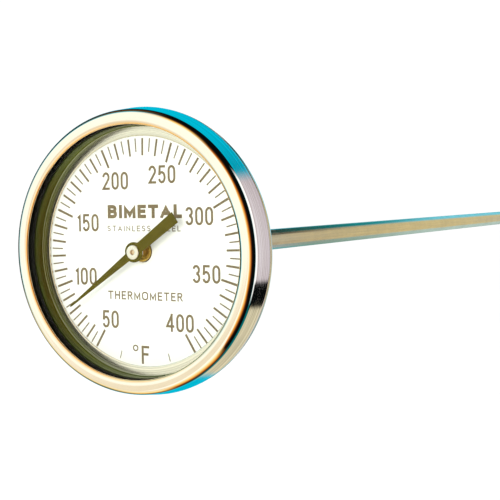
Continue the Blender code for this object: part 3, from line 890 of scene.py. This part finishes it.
def make_stem(materials):
    """Stem, tip and bush: all ride on the stem."""
    outer = radius("stem_tube")
    wall = 0.5 * MM
    ends = (front("stem_tube"), rear("stem_tube"))
    pipe = [(outer - wall, ends[1]), (outer, ends[1]), (outer, ends[0]), (outer - wall, ends[0])]
    tube = turned("drawn_stem", rounded(pipe, [0, 0.12 * MM, 0, 0]), NARROW_STEPS)
    place(tube, materials["stem"], "stem", "stem_steel", "stem_tube")

    tip = rear("stem_tip_plug")
    head = 2.1 * MM
    spigot = outer - wall - 0.1 * MM
    cone = 0.6 * MM
    plug_points = [(0.0, tip), (outer - cone, tip), (outer, tip - cone), (outer, tip - head)]
    plug_points += [(spigot, tip - head), (spigot, front("stem_tip_plug"))]
    plug_points.append((0.0, front("stem_tip_plug")))
    plug = turned("closed_tip", rounded(plug_points, [0, 0.3 * MM, 0.3 * MM, 0.12 * MM, 0, 0, 0]),
                  NARROW_STEPS, closed=False)
    place(plug, materials["stem"], "stem", "stem_steel", "stem_tip_plug")

    bush_r = radius("bearing_bush")
    bore = 0.7 * MM
    bush_front = front("bearing_bush")
    bush_points = [(bore, rear("bearing_bush")), (bush_r, rear("bearing_bush")),
                   (bush_r, bush_front), (bore, bush_front)]
    bush = turned("turned_bush", rounded(bush_points, [0, 0, 0.3 * MM, 0.1 * MM]), NARROW_STEPS)
    place(bush, materials["brass"], "stem", "brass", "bearing_bush")


def dress_frame(materials):
    """Better materials for the CAD nodes that stay."""
    looks = {
        "case_hub": "turned", "stem_collar": "turned", "recalibration_nut": "turned",
        "wave_washer": "spring", "hub_oring": "rubber", "spindle_guide_front": "brass",
        "spindle_guide_rear": "brass", "helix_anchor": "brass", "helix_ferrule": "brass",
        "spindle_collar": "brass", "bimetal_helix": "bimetal",
    }
    for name, look in looks.items():
        node = NODES[name]
        node.data.materials.clear()
        node.data.materials.append(materials[look])


# ---------------------------------------------------------------- studio

# Colours of the studio that the metal reflects
CREAM = (1.14, 1.08, 0.9)
SAND = (0.92, 0.8, 0.58)
WARM = (1.1, 0.88, 0.42)
GOLD = (1.0, 0.58, 0.14)
ORANGE = (0.8, 0.25, 0.03)
BROWN = (0.16, 0.035, 0.006)
BLACK = (0.002, 0.003, 0.003)
OLIVE = (0.1, 0.11, 0.04)
DARK_OLIVE = (0.05, 0.07, 0.045)
DEEP_TEAL = (0.0, 0.05, 0.055)
TEAL = (0.0, 0.16, 0.17)
CYAN = (0.0, 0.55, 0.75)
AQUA = (0.55, 0.98, 1.08)
WHITE = (1.15, 1.15, 1.15)
PINK = (0.54, 0.46, 0.48)
MIST = (0.4, 0.5, 0.6)
BEIGE = (0.74, 0.67, 0.44)
TAN = (0.85, 0.62, 0.28)
LILAC = (0.75, 0.68, 0.85)
NEAR_STEM = (0.52, 0.43, 0.26)
FAR_STEM = (0.68, 0.56, 0.28)
NEAR_TOP = (0.0, 0.13, 0.11)
MID_TOP = (0.0, 0.28, 0.32)
FAR_TOP = (0.2, 0.7, 0.85)
NEAR_UNDER = (0.2, 0.33, 0.26)
FAR_UNDER = (0.5, 0.65, 0.6)

# The reflection dome in sectors about the stem's axis. Each starts at an angle, in degrees
# anticlockwise from +X, and runs to the next one's start; its colours go from straight behind
# the dial (0) to straight in front (180). The second number is the width, in degrees, over
# which it blends with the sector before it. Inside 26 degrees, the colours show on the stem.
STEM_STOPS = [(5, MIST), (11, FAR_STEM), (17, FAR_STEM), (26, NEAR_STEM)]
TOP_STOPS = [(16, FAR_TOP), (19, MID_TOP), (24, NEAR_TOP), (26.5, BLACK), (32, BLACK)]
UNDER_STOPS = [(16, FAR_UNDER), (24, NEAR_UNDER)]
DOME_SECTORS = [
    (-33, 8, STEM_STOPS + [
        (29, MIST), (34, MIST), (38, PINK), (46, PINK), (49, WHITE), (60, WHITE), (64, TEAL),
        (70, BLACK), (106, BLACK), (118, BROWN), (132, ORANGE), (144, GOLD), (158, WARM),
        (170, CREAM)]),
    (52, 8, [
        (17, FAR_STEM), (22, NEAR_STEM), (25, BLACK), (31, BLACK), (33.5, TAN), (36, CYAN),
        (44, CYAN), (49, BLACK), (100, BLACK), (116, BROWN), (130, ORANGE), (140, WARM),
        (150, CREAM)]),
    (82, 20, TOP_STOPS + [
        (34, TAN), (36, CYAN), (44, CYAN), (48, BLACK), (86, BLACK), (98, BROWN), (112, GOLD),
        (124, WARM), (136, CREAM)]),
    (112, 20, TOP_STOPS + [
        (34, CYAN), (42, CYAN), (47, BLACK), (62, BLACK), (72, BROWN), (82, OLIVE), (92, TEAL),
        (103, AQUA), (112, CREAM)]),
    (142, 20, [
        (16, FAR_TOP), (24, MID_TOP), (29, CYAN), (42, CYAN), (50, DEEP_TEAL), (84, DEEP_TEAL),
        (100, TEAL), (110, AQUA), (122, CREAM)]),
    (172, 20, [
        (16, AQUA), (36, MIST), (44, DARK_OLIVE), (92, DARK_OLIVE), (102, DEEP_TEAL),
        (114, DEEP_TEAL), (120, TEAL), (128, AQUA), (136, CREAM)]),
    (195, 14, UNDER_STOPS + [
        (32, CYAN), (46, CYAN), (60, OLIVE), (80, OLIVE), (95, TAN), (110, WARM), (125, SAND)]),
    (232, 12, UNDER_STOPS + [
        (31, CYAN), (46, CYAN), (54, OLIVE), (64, BROWN), (74, GOLD), (90, WARM), (108, SAND),
        (126, CREAM)]),
    (254, 8, UNDER_STOPS + [
        (31, LILAC), (35, BEIGE), (44, BEIGE), (48, TEAL), (56, TEAL), (64, BLACK), (74, BROWN),
        (86, ORANGE), (98, GOLD), (116, WARM), (134, CREAM)]),
    (292, 8, STEM_STOPS + [
        (32, LILAC), (37, BEIGE), (46, BEIGE), (50, TEAL), (60, TEAL), (68, BLACK), (96, BLACK),
        (108, BROWN), (124, ORANGE), (136, GOLD), (148, WARM), (160, CREAM)]),
]
# A dark spot of the dome: its sector angle, its angle from straight behind, its half width and
# half height in those angles, and how softly it ends, all in degrees
DARK_SPOT = (-33.0, 42.0, 8.0, 11.0, 3)
DOME_RADIUS = 2.5

# The stem's reflector: each end's place along the stem and radius, and how far it takes to
# brighten from its near end
REFLECTOR_NEAR = (0.06, 0.0605)
REFLECTOR_FAR = (0.36, 0.185)
REFLECTOR_FADE = 0.1

FLOOR_LEVEL = -0.12
FLOOR_SIZE = 6.0
ROOM_STRENGTH = 1.05
LAMP_PLACE = (0.15, -1.05, 0.13)
LAMP_SIZE = 0.42
LAMP_ENERGY = 5.2

CAMERA_LENS = 79.326
CAMERA_SENSOR = 36.0
CAMERA_PLACE = (0.15747971, -0.25026868, 0.01405612)
CAMERA_RIGHT = (0.87723857, 0.47979413, -0.01581438)
CAMERA_UP = (-0.01045745, 0.05203434, 0.99859054)


def dome_material():
    """Emission that varies with direction as the sectors say."""
    material, tree = bare_material("reflection_dome")
    spot = put(tree, "ShaderNodeTexCoord").outputs["Object"]
    unit = put(tree, "ShaderNodeVectorMath", {0: spot}, operation="NORMALIZE").outputs[0]
    axes = put(tree, "ShaderNodeSeparateXYZ", {0: unit})
    turn = math_node(tree, "ARCTAN2", axes.outputs[2], axes.outputs[0])
    polar = math_node(tree, "ARCCOSINE", axes.outputs[1])
    share = math_node(tree, "DIVIDE", polar, math.pi)

    def turned_from(angle):
        """Signed angle from a given sector angle, in radians."""
        gap = math_node(tree, "SUBTRACT", turn, math.radians(angle))
        return math_node(tree, "WRAP", gap, math.pi, -math.pi)

    total = None
    nexts = DOME_SECTORS[1:] + [(DOME_SECTORS[0][0] + 360, DOME_SECTORS[0][1], None)]
    for (start, blend, stops), (end, end_blend, _) in zip(DOME_SECTORS, nexts, strict=True):
        ramp = put(tree, "ShaderNodeValToRGB", {0: share})
        elements = ramp.color_ramp.elements
        elements[0].position = stops[0][0] / 180
        elements[0].color = (*stops[0][1], 1.0)
        elements[1].position = stops[-1][0] / 180
        elements[1].color = (*stops[-1][1], 1.0)
        for degrees, colour in stops[1:-1]:
            elements.new(degrees / 180).color = (*colour, 1.0)
        half = (end - start) / 2
        offset = turned_from(start + half)
        rise = ranged(tree, offset, math.radians(-half - blend / 2), math.radians(blend / 2 - half))
        fall = ranged(tree, offset, math.radians(half - end_blend / 2),
                      math.radians(half + end_blend / 2), 1.0, 0.0)
        weight = math_node(tree, "MULTIPLY", rise, fall)
        part = put(tree, "ShaderNodeVectorMath", {0: ramp.outputs[0], "Scale": weight},
                   operation="SCALE").outputs[0]
        if total:
            part = put(tree, "ShaderNodeVectorMath", {0: total, 1: part}).outputs[0]
        total = part
    spot_turn, spot_polar, half_turn, half_polar, soft = DARK_SPOT
    away = math_node(tree, "ABSOLUTE", turned_from(spot_turn))
    beside = ranged(tree, away, math.radians(half_turn), math.radians(half_turn + soft))
    gap = math_node(tree, "ABSOLUTE", math_node(tree, "SUBTRACT", polar, math.radians(spot_polar)))
    beyond = ranged(tree, gap, math.radians(half_polar), math.radians(half_polar + soft))
    lit = math_node(tree, "MAXIMUM", beside, beyond)
    surface(tree, put(tree, "ShaderNodeEmission", {"Color": blended(tree, lit, BLACK, total)}))
    return material


def show_in_gloss_only(piece):
    """Let only glossy surfaces see a piece."""
    piece.visible_camera = False
    piece.visible_diffuse = False
    piece.visible_shadow = False
    piece.visible_transmission = False


def make_dome():
    """A large sphere around the object that only glossy surfaces see."""
    shape = bmesh.new()
    bmesh.ops.create_uvsphere(shape, u_segments=64, v_segments=32, radius=DOME_RADIUS)
    dome = finish_mesh("studio_dome", shape)
    dome.location = (0.0, DIAL_FACE, 0.0)
    dome.data.materials.append(dome_material())
    show_in_gloss_only(dome)


def make_reflector():
    """A flared pale tube around the stem, open at both ends, that only glossy surfaces see."""
    material, tree = bare_material("stem_reflector")
    (near, near_radius), (far, far_radius) = REFLECTOR_NEAR, REFLECTOR_FAR
    _, direction, along = about_axis(tree)
    inputs = {"Vector": direction, "Scale": 1.7, "Detail": 1.0}
    bands = put(tree, "ShaderNodeTexNoise", inputs).outputs[0]
    fade = ranged(tree, along, near, near + REFLECTOR_FADE)
    shade = math_node(tree, "MULTIPLY", ranged(tree, bands, 0.36, 0.62, 0.1, 0.85), fade)
    surface(tree, put(tree, "ShaderNodeEmission", {"Color": blended(tree, shade, BLACK, CREAM)}))
    thick = 0.5 * MM
    section = [(near_radius, near - DIAL_FACE), (far_radius, far - DIAL_FACE),
               (far_radius + thick, far - DIAL_FACE), (near_radius + thick, near - DIAL_FACE)]
    tube = turned("stem_reflector", section, NARROW_STEPS)
    tube.data.materials.append(material)
    show_in_gloss_only(tube)


def make_floor():
    """A plain pale floor well below the object."""
    material, tree, shader = new_material("studio_floor")
    shade = ranged(tree, cloud(tree, 0.4), 0.3, 0.7, 0.965, 0.99)
    tree.links.new(put(tree, "ShaderNodeCombineColor", {0: shade, 1: shade, 2: shade}).outputs[0],
                   shader.inputs["Base Color"])
    shader.inputs["Roughness"].default_value = 0.9
    shader.inputs["Specular IOR Level"].default_value = 0.0
    shape = bmesh.new()
    bmesh.ops.create_grid(shape, x_segments=4, y_segments=4, size=FLOOR_SIZE)
    floor = finish_mesh("studio_floor", shape)
    floor.location = (0.0, 0.0, FLOOR_LEVEL)
    floor.data.materials.append(material)
    floor.visible_glossy = False


def make_lights():
    """A white room and one large soft lamp, in front of the dial and a little above it."""
    world = bpy.data.worlds.new("studio")
    bpy.context.scene.world = world
    world.use_nodes = True
    back = world.node_tree.nodes["Background"]
    back.inputs["Color"].default_value = (1.0, 1.0, 1.0, 1.0)
    back.inputs["Strength"].default_value = ROOM_STRENGTH

    lamp_data = bpy.data.lights.new("key_light", "AREA")
    lamp_data.shape = "DISK"
    lamp_data.size = LAMP_SIZE
    lamp_data.energy = LAMP_ENERGY
    lamp_data.color = (1.0, 0.98, 0.94)
    lamp = bpy.data.objects.new("key_light", lamp_data)
    bpy.context.scene.collection.objects.link(lamp)
    lamp.location = LAMP_PLACE
    aim = Vector((0.0, DIAL_FACE, 0.0)) - lamp.location
    lamp.rotation_euler = aim.to_track_quat("-Z", "Y").to_euler()
    lamp.visible_glossy = False


def make_camera():
    """The camera, to the right of the dial's axis and just above it."""
    data = bpy.data.cameras.new("camera")
    data.lens = CAMERA_LENS
    data.sensor_width = CAMERA_SENSOR
    camera = bpy.data.objects.new("camera", data)
    bpy.context.scene.collection.objects.link(camera)
    right = Vector(CAMERA_RIGHT)
    up = Vector(CAMERA_UP)
    back = right.cross(up)
    turn = Matrix((right, up, back)).transposed().to_4x4()
    camera.matrix_world = Matrix.Translation(CAMERA_PLACE) @ turn
    bpy.context.scene.camera = camera


def main():
    """Build everything around the frame."""
    materials = make_materials()
    make_case(materials)
    make_printing(materials["ink"])
    make_pointer(materials)
    make_stem(materials)
    dress_frame(materials)
    make_dome()
    make_reflector()
    make_floor()
    make_lights()
    make_camera()
    bpy.context.scene.view_settings.view_transform = "Standard"


main()
